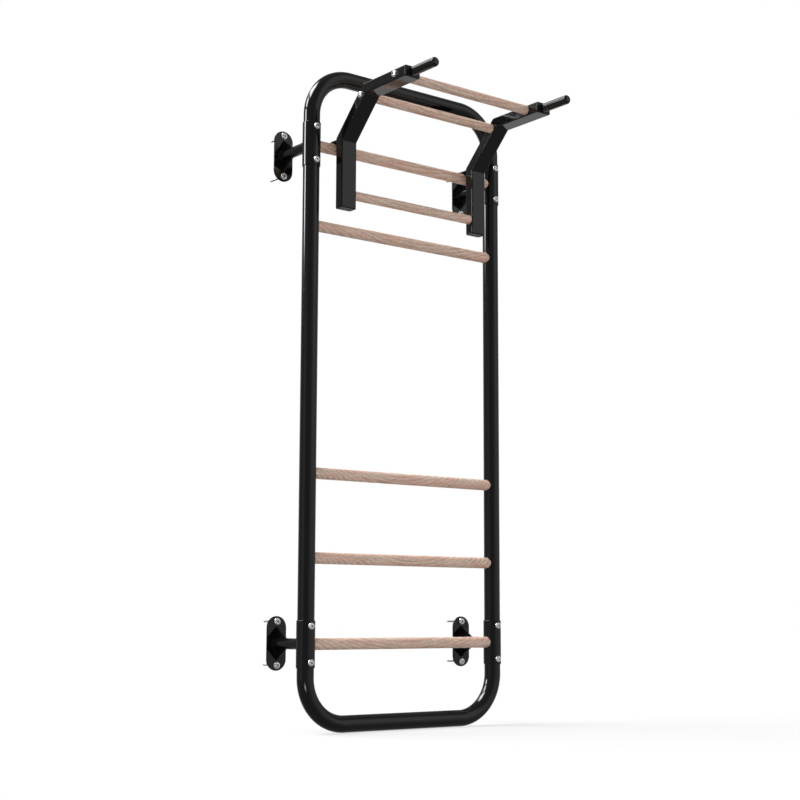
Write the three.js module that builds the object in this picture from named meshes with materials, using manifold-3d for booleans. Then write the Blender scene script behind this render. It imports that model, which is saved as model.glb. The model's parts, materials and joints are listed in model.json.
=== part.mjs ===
// Wall bars with a hook-on pull-up unit.
// Millimetres, +Z up. The origin is on the wall's surface, at floor level, on the centreline:
// the wall is the plane y = 0, the bars stand in front of it (negative y), x runs to the right.

import * as THREE from "three";
import { mergeVertices } from "three/addons/utils/BufferGeometryUtils.js";
import Module from "manifold-3d";

const wasm = await Module();
wasm.setup();

// Driving dimensions -------------------------------------------------------------------------

const GAP = 0.3; // between pieces that touch
const SIDES = 24; // facets round a tube
const SCREW_SIDES = 12;
const PLATE_STEPS = 6; // facets round each end of a wall plate
const CAP_STEPS = 3; // round each corner of a cap
const HOOK_STEPS = 4; // round a hook's bend

// Frame
const HEIGHT = 2000; // floor to the top of the top bend
const UPRIGHT_SPACING = 714; // centre to centre
const TUBE_R = 25;
const TUBE_WALL = 3;
const CORNER_R = 136; // of the tube's centreline
const CORNER_STEPS = 6;
const WALL_OFFSET = 157; // wall to the frame's centreline
const JOINT_OFFSET = 30; // from an end rung's axis to the joint between upright and bend

// Rungs
const RUNG_R = 17;
const RUNG_PITCH = 248.2;
const FIRST_RUNG_Z = 256;
const RUNG_STEPS = [0, 1, 2, 5, 6]; // in pitches above the first rung: two places are left free
const RUNG_INSERT = 12; // past the upright's centreline

// Wall brackets
const SLEEVE_R = 27.5;
const SLEEVE_LENGTH = 136;
const SLEEVE_BOLT_RISE = 52; // above and below the bracket's centre
const STRUT_R = 16;
const STRUT_WALL = 2.5;
const PLATE_WIDTH = 67;
const PLATE_HEIGHT = 160;
const PLATE_THICKNESS = 5;
const PLATE_SCREW_RISE = 64;
const GUSSET_THICKNESS = 5;
const GUSSET_RISE = 50; // above the strut's axis, at the plate
const GUSSET_LENGTH = 49;
const GUSSET_TOE = 2; // blunt end on the strut
const GUSSET_ROOT = 1; // of the gusset in the plate

// Fasteners
const BOLT_R = 4;
const BOLT_HEAD_R = 10;
const BOLT_HEAD_HEIGHT = 6;
const SLEEVE_BOLT_LENGTH = 14;
const BOLT_CHAMFER = 1;
const WALL_SCREW_R = 3;
const WALL_SCREW_HEAD_R = 11;
const WALL_SCREW_HEAD_HEIGHT = 7;
const WALL_SCREW_REACH = 72; // past the wall's surface
const WALL_SCREW_POINT = 8;
const SCREW_TIP = 0.3; // radius left at the end of the taper, as a share of the shank's
const DOME = [[0.5, 0.88], [0.87, 0.5]]; // a head's dome, as shares of its radius and height
const BOLT_CLEARANCE = 0.4;

// Pull-up unit, measured from the axis of the top rung
const ARM_X = 257.5; // centreline to the middle of an arm
const ARM_WIDTH = 54;
const ARM_DEPTH = 33;
const ARM_WALL = 2.5;
const ARM_BACK_Y = -25; // back face of the lower section
const ARM_FOOT_Z = -193;
const ARM_BEND_Z = 21.6;
const ARM_RISER = 176.5; // between the two bends, at 45 degrees
const ARM_REACH = 200.4; // from the elbow to the front end
const CAP_FLANGE = 4;
const CAP_PLUG = 14;
const CAP_CORNER_R = 4;
const CAP_OVERLAP = 0.5; // of the plug in the flange
const DOWEL_R = 14.25;
const DOWEL_SOCKET_DEPTH = 15;
const DOWEL_BOLT_DEPTH = 25;
const PILOT_MARGIN = 1; // the pilot hole's extra depth past the bolt
const LOWER_DOWEL_RISE = 47.5; // above the arm's foot
const ELBOW_DOWEL_BACK = 22; // down the riser from the elbow
const END_DOWEL_BACK = 51; // from the front end
const END_DOWEL_RISE = 1.5; // above the arm's centreline
const HANDLE_R = 13.75;
const HANDLE_LENGTH = 108;
const HANDLE_TIP_R = 8;
const HANDLE_TIP_STEPS = 3;
const HANDLE_STUB_R = 10;
const HANDLE_STUB_LENGTH = 24;
const HOOK_WIDTH = 52;
const HOOK_THICKNESS = 6;
const HOOK_CLEARANCE = 0.7; // round the rung
const HOOK_LIP = 8; // below the rung's axis

// Places worked out from them ----------------------------------------------------------------

const HALF_SPACING = UPRIGHT_SPACING / 2;
const TOP_Z = HEIGHT - TUBE_R;
const RUNG_Z = RUNG_STEPS.map((step) => FIRST_RUNG_Z + step * RUNG_PITCH);
const LOWEST_Z = RUNG_Z[0];
const HIGHEST_Z = RUNG_Z.at(-1);
const JOINT_TO_BOLT = SLEEVE_BOLT_RISE - JOINT_OFFSET;
const ARM_Y = ARM_BACK_Y - ARM_DEPTH / 2;
const ELBOW_Y = ARM_Y - ARM_RISER * Math.SQRT1_2;
const ELBOW_Z = ARM_BEND_Z + ARM_RISER * Math.SQRT1_2;
const FRONT_Y = ELBOW_Y - ARM_REACH;
const ARM_INNER_X = ARM_X - ARM_WIDTH / 2;
const DOWELS = {
  lower: { y: ARM_Y, z: ARM_FOOT_Z + LOWER_DOWEL_RISE },
  elbow: {
    y: ELBOW_Y + ELBOW_DOWEL_BACK * Math.SQRT1_2,
    z: ELBOW_Z - ELBOW_DOWEL_BACK * Math.SQRT1_2,
  },
  end: { y: FRONT_Y + END_DOWEL_BACK, z: ELBOW_Z + END_DOWEL_RISE },
};

// Materials ----------------------------------------------------------------------------------

const FINISHES = {
  paint: { color: 0x0b0b0c, roughness: 0.12, metalness: 0.0 },
  wood: { color: 0xc9a18b, roughness: 0.55, metalness: 0.0 },
  steel: { color: 0xcfd0d2, roughness: 0.22, metalness: 1.0 },
  plastic: { color: 0x151413, roughness: 0.45, metalness: 0.0 },
};

// A named mesh with a material of its own.
function piece(name, geometry, finish) {
  const mesh = new THREE.Mesh(geometry, new THREE.MeshStandardMaterial(FINISHES[finish]));
  mesh.name = name;
  return mesh;
}

// Solids -------------------------------------------------------------------------------------

function solidOf(geometry) {
  const bare = geometry.clone();
  bare.deleteAttribute("normal");
  bare.deleteAttribute("uv");
  const merged = mergeVertices(bare, 1e-3);
  return new wasm.Manifold(
    new wasm.Mesh({
      numProp: 3,
      vertProperties: merged.attributes.position.array,
      triVerts: new Uint32Array(merged.index.array),
    }),
  );
}

function geometryOf(solid) {
  const mesh = solid.getMesh();
  const geometry = new THREE.BufferGeometry();
  geometry.setAttribute("position", new THREE.BufferAttribute(mesh.vertProperties, 3));
  geometry.setIndex(new THREE.BufferAttribute(mesh.triVerts, 1));
  geometry.computeVertexNormals();
  return geometry;
}

const cut = (geometry, tools) =>
  geometryOf(tools.reduce((solid, tool) => solid.subtract(solidOf(tool)), solidOf(geometry)));

const join = (geometries) =>
  geometryOf(geometries.map(solidOf).reduce((whole, part) => whole.add(part)));

// A cylinder from `start` to `start + length` on one of the axes.
function rod(radius, length, axis = "y", start = 0, sides = SIDES) {
  const geometry = new THREE.CylinderGeometry(radius, radius, length, sides);
  geometry.translate(0, start + length / 2, 0);
  return turn(geometry, axis);
}

// Turns a shape that lies along +Y to lie along +X or +Z.
function turn(geometry, axis) {
  if (axis === "x") geometry.rotateZ(-Math.PI / 2);
  if (axis === "z") geometry.rotateX(Math.PI / 2);
  return geometry;
}

// A straight tube from `start` to `start + length`, open at both ends.
function pipe(radius, wall, length, axis, start = 0) {
  const inner = radius - wall;
  const profile = [
    new THREE.Vector2(inner, start),
    new THREE.Vector2(radius, start),
    new THREE.Vector2(radius, start + length),
    new THREE.Vector2(inner, start + length),
    new THREE.Vector2(inner, start),
  ];
  return turn(new THREE.LatheGeometry(profile, SIDES), axis);
}

const lathe = (points, sides) =>
  new THREE.LatheGeometry(points.map(([r, y]) => new THREE.Vector2(r, y)), sides);

// Extrudes an outline drawn in the side view (y across, z up) over a width in x, centred on x = 0.
function fromSide(shape, width, curveSegments = 1) {
  const settings = { depth: width, bevelEnabled: false, curveSegments };
  const geometry = new THREE.ExtrudeGeometry(shape, settings).translate(0, 0, -width / 2);
  const across = new THREE.Vector3(0, 1, 0);
  const up = new THREE.Vector3(0, 0, 1);
  const along = new THREE.Vector3(1, 0, 0);
  return geometry.applyMatrix4(new THREE.Matrix4().makeBasis(across, up, along));
}

// A polygon as a shape.
const outline = (points) => new THREE.Shape(points.map(([x, y]) => new THREE.Vector2(x, y)));

function roundedRectangle(width, height, radius) {
  const x = width / 2 - radius;
  const y = height / 2 - radius;
  const shape = new THREE.Shape();
  shape.absarc(x, y, radius, 0, Math.PI / 2);
  shape.absarc(-x, y, radius, Math.PI / 2, Math.PI);
  shape.absarc(-x, -y, radius, Math.PI, 1.5 * Math.PI);
  shape.absarc(x, -y, radius, 1.5 * Math.PI, 2 * Math.PI);
  shape.closePath();
  return shape;
}

// Frame --------------------------------------------------------------------------------------

// The centreline of a U with its crown at z = 0 and its legs pointing down. One station stands at
// each leg's end, and the others stand round the two corners.
class UPath extends THREE.Curve {
  constructor(legLength) {
    super();
    const corner = HALF_SPACING - CORNER_R;
    this.stations = [{ x: -HALF_SPACING, z: -legLength, angle: Math.PI }];
    for (const [centre, from] of [[-corner, Math.PI], [corner, Math.PI / 2]]) {
      for (let i = 0; i <= CORNER_STEPS; i++) {
        const angle = from - (i / CORNER_STEPS) * (Math.PI / 2);
        const x = centre + CORNER_R * Math.cos(angle);
        const z = -CORNER_R + CORNER_R * Math.sin(angle);
        this.stations.push({ x, z, angle });
      }
    }
    this.stations.push({ x: HALF_SPACING, z: -legLength, angle: 0 });
  }

  at(u) {
    return this.stations[Math.round(u * (this.stations.length - 1))];
  }

  getPointAt(u) {
    const { x, z } = this.at(u);
    return new THREE.Vector3(x, 0, z);
  }

  getTangentAt(u) {
    const { angle } = this.at(u);
    return new THREE.Vector3(Math.sin(angle), 0, -Math.cos(angle));
  }
}

// A hole through the front wall of a tube on the z axis, for a sleeve bolt.
const frontHole = (x, z) =>
  rod(BOLT_R + BOLT_CLEARANCE, 2 * TUBE_R, "y", -2 * TUBE_R, SCREW_SIDES).translate(x, 0, z);

// A hole through the wall of an upright or a sleeve that faces the other upright.
function rungHole(inward, z) {
  const hole = rod(RUNG_R + GAP, 2 * TUBE_R, "x");
  return (inward < 0 ? hole.rotateZ(Math.PI) : hole).translate(0, 0, z);
}

function uBend(legLength) {
  const ring = new THREE.Shape().absarc(0, 0, TUBE_R, 0, 2 * Math.PI);
  ring.holes.push(new THREE.Path().absarc(0, 0, TUBE_R - TUBE_WALL, 0, 2 * Math.PI));
  const path = new UPath(legLength);
  const settings = {
    steps: path.stations.length - 1,
    extrudePath: path,
    curveSegments: SIDES / 2,
  };
  const tube = new THREE.ExtrudeGeometry(ring, settings);
  const z = JOINT_TO_BOLT - legLength;
  return cut(tube, [frontHole(-HALF_SPACING, z), frontHole(HALF_SPACING, z)]);
}

function upright(inward) {
  const bottom = LOWEST_Z - JOINT_OFFSET + GAP;
  const top = HIGHEST_Z + JOINT_OFFSET - GAP;
  const tube = pipe(TUBE_R, TUBE_WALL, top - bottom, "z", bottom);
  const rungHoles = RUNG_Z.map((z) => rungHole(inward, z));
  const boltHoles = [LOWEST_Z + SLEEVE_BOLT_RISE, HIGHEST_Z - SLEEVE_BOLT_RISE];
  return cut(tube, [...rungHoles, ...boltHoles.map((z) => frontHole(0, z))]);
}

function frame() {
  const group = new THREE.Group();
  group.position.y = -WALL_OFFSET;

  const topBend = piece("top_bend", uBend(TOP_Z - HIGHEST_Z - JOINT_OFFSET), "paint");
  topBend.position.z = TOP_Z;
  const bottomBend = piece("bottom_bend", uBend(LOWEST_Z - JOINT_OFFSET - TUBE_R), "paint");
  bottomBend.position.z = TUBE_R;
  bottomBend.rotation.y = Math.PI;
  group.add(topBend, bottomBend);

  for (const [side, sign] of [["left", -1], ["right", 1]]) {
    const post = piece(`${side}_upright`, upright(-sign), "paint");
    post.position.x = sign * HALF_SPACING;
    group.add(post);
  }

  const length = UPRIGHT_SPACING + 2 * RUNG_INSERT;
  RUNG_Z.forEach((z, i) => {
    const rung = piece(`rung_${i + 1}`, rod(RUNG_R, length, "x", -length / 2), "wood");
    rung.position.z = z;
    group.add(rung);
  });
  return group;
}

// Fasteners ----------------------------------------------------------------------------------

// A domed head on a shank. The seat is at y = 0, the head is on its -y side, and the shank runs
// along +y to `length`, its last `point` millimetres tapered.
function screw(headR, headHeight, shankR, length, point) {
  const profile = [
    [0, -headHeight],
    ...DOME.map(([out, up]) => [out * headR, -up * headHeight]),
    [headR, 0],
    [shankR, 0],
    [shankR, length - point],
    [SCREW_TIP * shankR, length],
    [0, length],
  ];
  return lathe(profile, SCREW_SIDES);
}

const bolt = (length) => screw(BOLT_HEAD_R, BOLT_HEAD_HEIGHT, BOLT_R, length, BOLT_CHAMFER);

// Wall brackets ------------------------------------------------------------------------------

function sleeve(inward) {
  const tube = pipe(SLEEVE_R, SLEEVE_R - TUBE_R - GAP, SLEEVE_LENGTH, "z", -SLEEVE_LENGTH / 2);
  const boltHoles = [-SLEEVE_BOLT_RISE, SLEEVE_BOLT_RISE].map((z) => frontHole(0, z));
  return cut(tube, [rungHole(inward, 0), ...boltHoles]);
}

// The round strut from the sleeve's back to the wall plate, saddled onto the sleeve.
function strut() {
  const length = WALL_OFFSET - PLATE_THICKNESS - GAP - TUBE_R / 2;
  const tube = pipe(STRUT_R, STRUT_WALL, length, "y", TUBE_R / 2);
  return cut(tube, [rod(SLEEVE_R + GAP, 4 * STRUT_R, "z", -2 * STRUT_R)]);
}

// The obround plate against the wall, with a triangular gusset above and below the strut.
function wallPlate() {
  const shape = roundedRectangle(PLATE_WIDTH, PLATE_HEIGHT, PLATE_WIDTH / 2);
  for (const z of [-PLATE_SCREW_RISE, PLATE_SCREW_RISE]) {
    const hole = new THREE.Path().absarc(0, z, WALL_SCREW_R + BOLT_CLEARANCE, 0, 2 * Math.PI);
    shape.holes.push(hole);
  }
  const settings = { depth: PLATE_THICKNESS, bevelEnabled: false, curveSegments: PLATE_STEPS };
  const plate = new THREE.ExtrudeGeometry(shape, settings).rotateX(Math.PI / 2);

  const front = -PLATE_THICKNESS;
  const foot = STRUT_R + GAP;
  const gusset = outline([
    [front - GUSSET_LENGTH, foot],
    [front + GUSSET_ROOT, foot],
    [front + GUSSET_ROOT, GUSSET_RISE],
    [front, GUSSET_RISE],
    [front - GUSSET_LENGTH, foot + GUSSET_TOE],
  ]);
  const upper = fromSide(gusset, GUSSET_THICKNESS);
  const lower = upper.clone().rotateY(Math.PI);
  return join([plate, upper, lower]);
}

// One bracket with its fasteners, centred on an end rung's height.
function bracket(name, sign, z) {
  const group = new THREE.Group();
  group.position.set(sign * HALF_SPACING, 0, z);

  const onFrame = new THREE.Group();
  onFrame.position.y = -WALL_OFFSET;
  onFrame.add(piece(`sleeve_${name}`, sleeve(-sign), "paint"));
  onFrame.add(piece(`strut_${name}`, strut(), "paint"));
  group.add(onFrame, piece(`wall_plate_${name}`, wallPlate(), "paint"));

  for (const [level, up] of [["upper", 1], ["lower", -1]]) {
    const sleeveBolt = piece(`sleeve_bolt_${name}_${level}`, bolt(SLEEVE_BOLT_LENGTH), "steel");
    sleeveBolt.position.set(0, -SLEEVE_R - GAP, up * SLEEVE_BOLT_RISE);
    onFrame.add(sleeveBolt);

    const length = WALL_SCREW_REACH + PLATE_THICKNESS + GAP;
    const screwShape = screw(
      WALL_SCREW_HEAD_R, WALL_SCREW_HEAD_HEIGHT, WALL_SCREW_R, length, WALL_SCREW_POINT,
    );
    const wallScrew = piece(`wall_screw_${name}_${level}`, screwShape, "steel");
    wallScrew.position.set(0, -PLATE_THICKNESS - GAP, up * PLATE_SCREW_RISE);
    group.add(wallScrew);
  }
  return group;
}

// Pull-up unit -------------------------------------------------------------------------------

// The side view of an arm, `half` a depth on each side of its centreline and mitred at the bends.
// Each end stands `back` short of the arm's full length.
function armOutline(half, back) {
  const mitre = half * Math.tan(Math.PI / 8);
  return outline([
    [ARM_Y - half, ARM_FOOT_Z + back],
    [ARM_Y + half, ARM_FOOT_Z + back],
    [ARM_Y + half, ARM_BEND_Z + mitre],
    [ELBOW_Y + mitre, ELBOW_Z + half],
    [FRONT_Y + back, ELBOW_Z + half],
    [FRONT_Y + back, ELBOW_Z - half],
    [ELBOW_Y - mitre, ELBOW_Z - half],
    [ARM_Y - half, ARM_BEND_Z - mitre],
  ]);
}

function arm(inward) {
  const outer = fromSide(armOutline(ARM_DEPTH / 2, CAP_FLANGE + GAP), ARM_WIDTH);
  const inner = fromSide(armOutline(ARM_DEPTH / 2 - ARM_WALL, 0), ARM_WIDTH - 2 * ARM_WALL);
  const boltHoles = [DOWELS.elbow, DOWELS.end].map(({ y, z }) =>
    rod(BOLT_R + BOLT_CLEARANCE, 2 * ARM_WIDTH, "x", -ARM_WIDTH, SCREW_SIDES).translate(0, y, z),
  );
  const socket = rod(DOWEL_R + GAP, ARM_WIDTH, "x");
  if (inward < 0) socket.rotateZ(Math.PI);
  socket.translate(0, DOWELS.lower.y, DOWELS.lower.z);
  return cut(outer, [inner, socket, ...boltHoles]);
}

// A plug for an arm's open end: the flange lies on z = 0 and below, the plug stands above it.
function cap() {
  const flange = new THREE.ExtrudeGeometry(
    roundedRectangle(ARM_WIDTH, ARM_DEPTH, CAP_CORNER_R),
    { depth: CAP_FLANGE, bevelEnabled: false, curveSegments: CAP_STEPS },
  ).translate(0, 0, -CAP_FLANGE);
  const plug = new THREE.BoxGeometry(
    ARM_WIDTH - 2 * (ARM_WALL + GAP),
    ARM_DEPTH - 2 * (ARM_WALL + GAP),
    CAP_PLUG,
  ).translate(0, 0, CAP_PLUG / 2 - CAP_OVERLAP);
  return join([flange, plug]);
}

const endCap = () =>
  cut(cap(), [rod(HANDLE_STUB_R + GAP, 4 * CAP_PLUG, "z", -2 * CAP_PLUG)]).rotateX(-Math.PI / 2);

// A round grip with a rounded tip at +y and a thinner stub behind it.
function handle() {
  const tip = HANDLE_LENGTH - HANDLE_TIP_R;
  const profile = [
    [0, -HANDLE_STUB_LENGTH],
    [HANDLE_STUB_R, -HANDLE_STUB_LENGTH],
    [HANDLE_STUB_R, GAP],
    [HANDLE_R, GAP],
  ];
  for (let i = 0; i <= HANDLE_TIP_STEPS; i++) {
    const angle = (i / HANDLE_TIP_STEPS) * (Math.PI / 2);
    const r = HANDLE_R - HANDLE_TIP_R + HANDLE_TIP_R * Math.cos(angle);
    profile.push([r, tip + HANDLE_TIP_R * Math.sin(angle)]);
  }
  profile.push([0, HANDLE_LENGTH]);
  return lathe(profile, SIDES);
}

// The strap that goes back from an arm, over the top rung and down behind it.
function hook() {
  const inner = RUNG_R + HOOK_CLEARANCE;
  const outer = inner + HOOK_THICKNESS;
  const root = ARM_BACK_Y + GAP;
  const shape = new THREE.Shape();
  shape.moveTo(root, inner);
  shape.lineTo(0, inner);
  shape.absarc(0, 0, inner, Math.PI / 2, 0, true);
  shape.lineTo(inner, -HOOK_LIP);
  shape.lineTo(outer, -HOOK_LIP);
  shape.absarc(0, 0, outer, 0, Math.PI / 2, false);
  shape.lineTo(root, outer);
  shape.closePath();
  return fromSide(shape, HOOK_WIDTH, HOOK_STEPS);
}

// A crosspiece between the arms. A bolted one stops at their inner faces and has a pilot hole in
// each end; a socketed one goes on into the arms.
function dowel(bolted) {
  const half = bolted ? ARM_INNER_X - GAP : ARM_INNER_X + DOWEL_SOCKET_DEPTH;
  const bar = rod(DOWEL_R, 2 * half, "x", -half);
  if (!bolted) return bar;
  const pilots = [-half, half].map((end) =>
    rod(BOLT_R + GAP, 2 * DOWEL_BOLT_DEPTH, "x", end - DOWEL_BOLT_DEPTH, SCREW_SIDES),
  );
  return cut(bar, pilots);
}

function pullUpArm(side, sign) {
  const group = new THREE.Group();
  group.position.x = sign * ARM_X;

  const foot = piece(`${side}_foot_cap`, cap(), "plastic");
  foot.position.set(0, ARM_Y, ARM_FOOT_Z + CAP_FLANGE);
  const end = piece(`${side}_end_cap`, endCap(), "plastic");
  end.position.set(0, FRONT_Y + CAP_FLANGE, ELBOW_Z);
  const grip = piece(`${side}_handle`, handle(), "plastic");
  grip.position.set(0, FRONT_Y, ELBOW_Z);
  grip.rotation.z = Math.PI;
  group.add(foot, end, grip);
  group.add(piece(`${side}_arm`, arm(-sign), "paint"));
  group.add(piece(`${side}_hook`, hook(), "paint"));

  for (const place of ["elbow", "end"]) {
    const shape = bolt(ARM_WIDTH + GAP + DOWEL_BOLT_DEPTH - PILOT_MARGIN);
    const dowelBolt = piece(`${place}_bolt_${side}`, shape, "steel");
    dowelBolt.rotation.z = (sign * Math.PI) / 2;
    const { y, z } = DOWELS[place];
    dowelBolt.position.set(sign * (ARM_WIDTH / 2 + GAP), y, z);
    group.add(dowelBolt);
  }
  return group;
}

function pullUpUnit() {
  const group = new THREE.Group();
  group.position.set(0, -WALL_OFFSET, HIGHEST_Z);
  group.add(pullUpArm("left", -1), pullUpArm("right", 1));
  for (const [place, { y, z }] of Object.entries(DOWELS)) {
    const bar = piece(`${place}_dowel`, dowel(place !== "lower"), "wood");
    bar.position.set(0, y, z);
    group.add(bar);
  }
  return group;
}

// The whole object ---------------------------------------------------------------------------

const wallBars = new THREE.Group();
wallBars.add(frame(), pullUpUnit());
for (const [level, z] of [["lower", LOWEST_Z], ["upper", HIGHEST_Z]]) {
  wallBars.add(bracket(`${level}_left`, -1, z), bracket(`${level}_right`, 1, z));
}

export default wallBars;
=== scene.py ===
"""Wall bars with a hook-on pull-up unit: the visual model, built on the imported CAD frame.

Metres, +Z up. The wall is the plane y = 0 and the bars stand in front of it, at negative y.
"""

import json
from math import cos, pi, radians, sin, sqrt

import bpy
import numpy as np
from mathutils import Matrix, Vector


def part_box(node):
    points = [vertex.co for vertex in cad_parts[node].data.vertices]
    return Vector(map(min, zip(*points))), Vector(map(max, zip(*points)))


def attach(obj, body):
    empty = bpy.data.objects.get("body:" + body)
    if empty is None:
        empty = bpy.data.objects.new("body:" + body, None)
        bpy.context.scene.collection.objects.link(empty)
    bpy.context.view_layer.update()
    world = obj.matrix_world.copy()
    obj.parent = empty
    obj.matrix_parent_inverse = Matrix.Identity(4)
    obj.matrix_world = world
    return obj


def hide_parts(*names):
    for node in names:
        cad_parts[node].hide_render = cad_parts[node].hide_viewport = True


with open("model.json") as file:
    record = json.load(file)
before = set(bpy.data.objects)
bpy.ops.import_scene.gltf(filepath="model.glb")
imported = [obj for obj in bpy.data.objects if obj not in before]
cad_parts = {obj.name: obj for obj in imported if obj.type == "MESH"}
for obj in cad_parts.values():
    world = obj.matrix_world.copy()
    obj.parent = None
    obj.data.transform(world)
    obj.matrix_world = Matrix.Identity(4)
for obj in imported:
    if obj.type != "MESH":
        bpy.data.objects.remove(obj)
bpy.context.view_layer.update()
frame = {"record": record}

X, Y, Z = Vector((1, 0, 0)), Vector((0, 1, 0)), Vector((0, 0, 1))
MM = 0.001

# Details that the CAD leaves plain -----------------------------------------------------------

SHARP = radians(32)  # an edge that turns more than this stays sharp
FIT_GAP = 0.15 * MM  # between a tube and what slides into it or onto it

# Frame
ROUND = 96  # facets round a frame tube
BAR_ROUND = 64
BEND_STEPS = 40  # round one corner of the frame
TUBE_WALL = 3 * MM
CORNER_R = 136 * MM
DRILL_LENGTH = 60 * MM
HOLE_LIP_R = 0.7 * MM
HOLE_LIP_OUT = 0.4 * MM  # from a rung's surface to the middle of the lip round it
HOLE_LIP_SINK = 0.15 * MM  # from a post's surface down to the middle of the lip
WALL_SLACK = 0.06 * MM  # how far off a tube's wall the middle of one of its facets may be
WALL_TURN = 0.9995  # least cosine between the facet's normal and the wall's
BAR_EDGE_R = 1.6 * MM

# Welds
WELD_R = 1.6 * MM
FILLET_R = 0.8 * MM  # of the finer welds on a gusset
WELD_PITCH = 1.9 * MM  # between the ripples of a weld
WELD_RIPPLE = 0.09  # height of a ripple, as a share of the weld's radius
WELD_OUT = 0.4 * MM  # from a strut's surface to the middle of its welds
WELD_LIFT = 0.3 * MM  # from the sleeve's or the plate's surface to the middle of a weld on it
WELD_TUCK = 0.2 * MM  # the same, for the round weld on the plate and those of a hook
WELD_STEPS = 180  # round a strut

# Wall brackets
SLEEVE_EDGE_R = 1.1 * MM
PLATE_THICKNESS = 5 * MM
PLATE_EDGE_R = 0.9 * MM
GUSSET_HALF = 2.5 * MM  # half its thickness
GUSSET_EDGE_R = 0.7 * MM
GUSSET_RISE = 50 * MM  # above the strut's axis, at the plate
GUSSET_TOE = 2 * MM
GUSSET_ROOT = 0.5 * MM  # of the gusset in the plate
GUSSET_GAP = 0.2 * MM  # between gusset and strut, which the weld fills
GUSSET_WELD_SINK = 0.5 * MM  # from the gusset's lower edge down to the middle of that weld
GUSSET_WELD_STEPS = 60

# Fasteners
SCREW_ROUND = 48
BOLT_SHANK_R = 4 * MM
BOLT_HEAD = 6 * MM
BOLT_TIP = 0.8 * MM  # length of the chamfer at its end
BOLT_TIP_R = 0.7  # as a share of the shank's radius
WALL_SCREW_R = 3 * MM
WALL_SCREW_HEAD = 7 * MM
HEAD_TOP = 0.5  # radius where a head's dome begins, as a share of the head's
HEAD_RIM = 0.9 * MM
HEAD_SEAT_EDGE = 0.4 * MM
SOCKET_WIDTH = 0.62  # across the flats, as a share of the head's radius
SOCKET_FLARE = 1.12
SOCKET_FLARE_DEPTH = 0.5 * MM
SOCKET_DEPTH = 3.8 * MM
SOCKET_CONE = 1.2 * MM  # depth of the drill point under a socket
SOCKET_PAINTED_SHADE = 0.65  # how far painted shade darkens the zinc in a socket, and on a thread
THREAD_PAINTED_SHADE = 0.8
THREAD_PITCH = 2.6 * MM
THREAD_STEPS = 8  # rings in one turn
THREAD_CORE = 0.82  # as a share of the crest's radius
THREAD_NECK = 7 * MM  # plain length under the head
THREAD_NECK_R = 0.97
THREAD_POINT = 10 * MM
THREAD_BLUNT = 0.6 * MM  # what is missing from the point's cone
THREAD_START = 2 * MM  # depth from which painted shade darkens a wall screw's thread

# Pull-up unit
ARM_CORNER_R = 3.2 * MM
ARM_WALL = 2.5 * MM
MITRE_R = 1.6 * MM
MITRE_STEPS = 4
BEND_RISE = 21.6 * MM  # from the top rung's axis up to an arm's lower bend
GLUE_R = 0.6 * MM  # bead round the lower dowel
CAP_EDGE_R = 1.8 * MM
CAP_FLANGE = 4 * MM
CAP_CROWN = 0.5 * MM
CAP_PLAY = 0.3 * MM  # between a cap's stem and the arm's wall
CAP_LEAD = 1.5 * MM  # length of the chamfer at a stem's end
CAP_LEAD_IN = 1 * MM  # and its width
CAP_LEAST_R = 0.4 * MM  # of a corner, however far in
GRIP_NOSE_R = 8 * MM
GRIP_STUB = 24 * MM  # length inside the arm
GRIP_STUB_R = 0.72  # as a share of the grip's radius
GRIP_COLLAR_R = 1.2 * MM
GRIP_GAP = 0.3 * MM  # between the end cap and the collar
HOOK_EDGE_R = 1.2 * MM
HOOK_THICKNESS = 6 * MM
HOOK_STEPS = 16  # round the rung
HOOK_TIP = 1.5 * MM  # length of the softened end
HOOK_TIP_DEPTH = 0.55  # as a share of the strap's thickness
HOOK_WELD_STEPS = 120
HOOK_WELD_INSET = 2 * MM  # from the strap's edge to the end of its weld


# Meshes --------------------------------------------------------------------------------------


def along(origin, axis):
    """A matrix that turns local z to lie along axis and moves the local origin to origin."""
    turn = Vector(axis).to_track_quat("Z", "Y").to_matrix().to_4x4()
    return Matrix.Translation(origin) @ turn


def axis_of(direction):
    """The index of the axis that a direction lies along."""
    return max(range(3), key=lambda i: abs(direction[i]))


def circle(radius, height, count):
    """A ring round local z."""
    angles = [2 * pi * i / count for i in range(count)]
    return [Vector((radius * cos(a), radius * sin(a), height)) for a in angles]


def arc(centre, radius, start, end, steps):
    """Points (r, t) on an arc in a profile, angles in degrees."""
    r, t = centre
    angles = [radians(start + (end - start) * i / steps) for i in range(steps + 1)]
    return [(r + radius * cos(a), t + radius * sin(a)) for a in angles]


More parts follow.
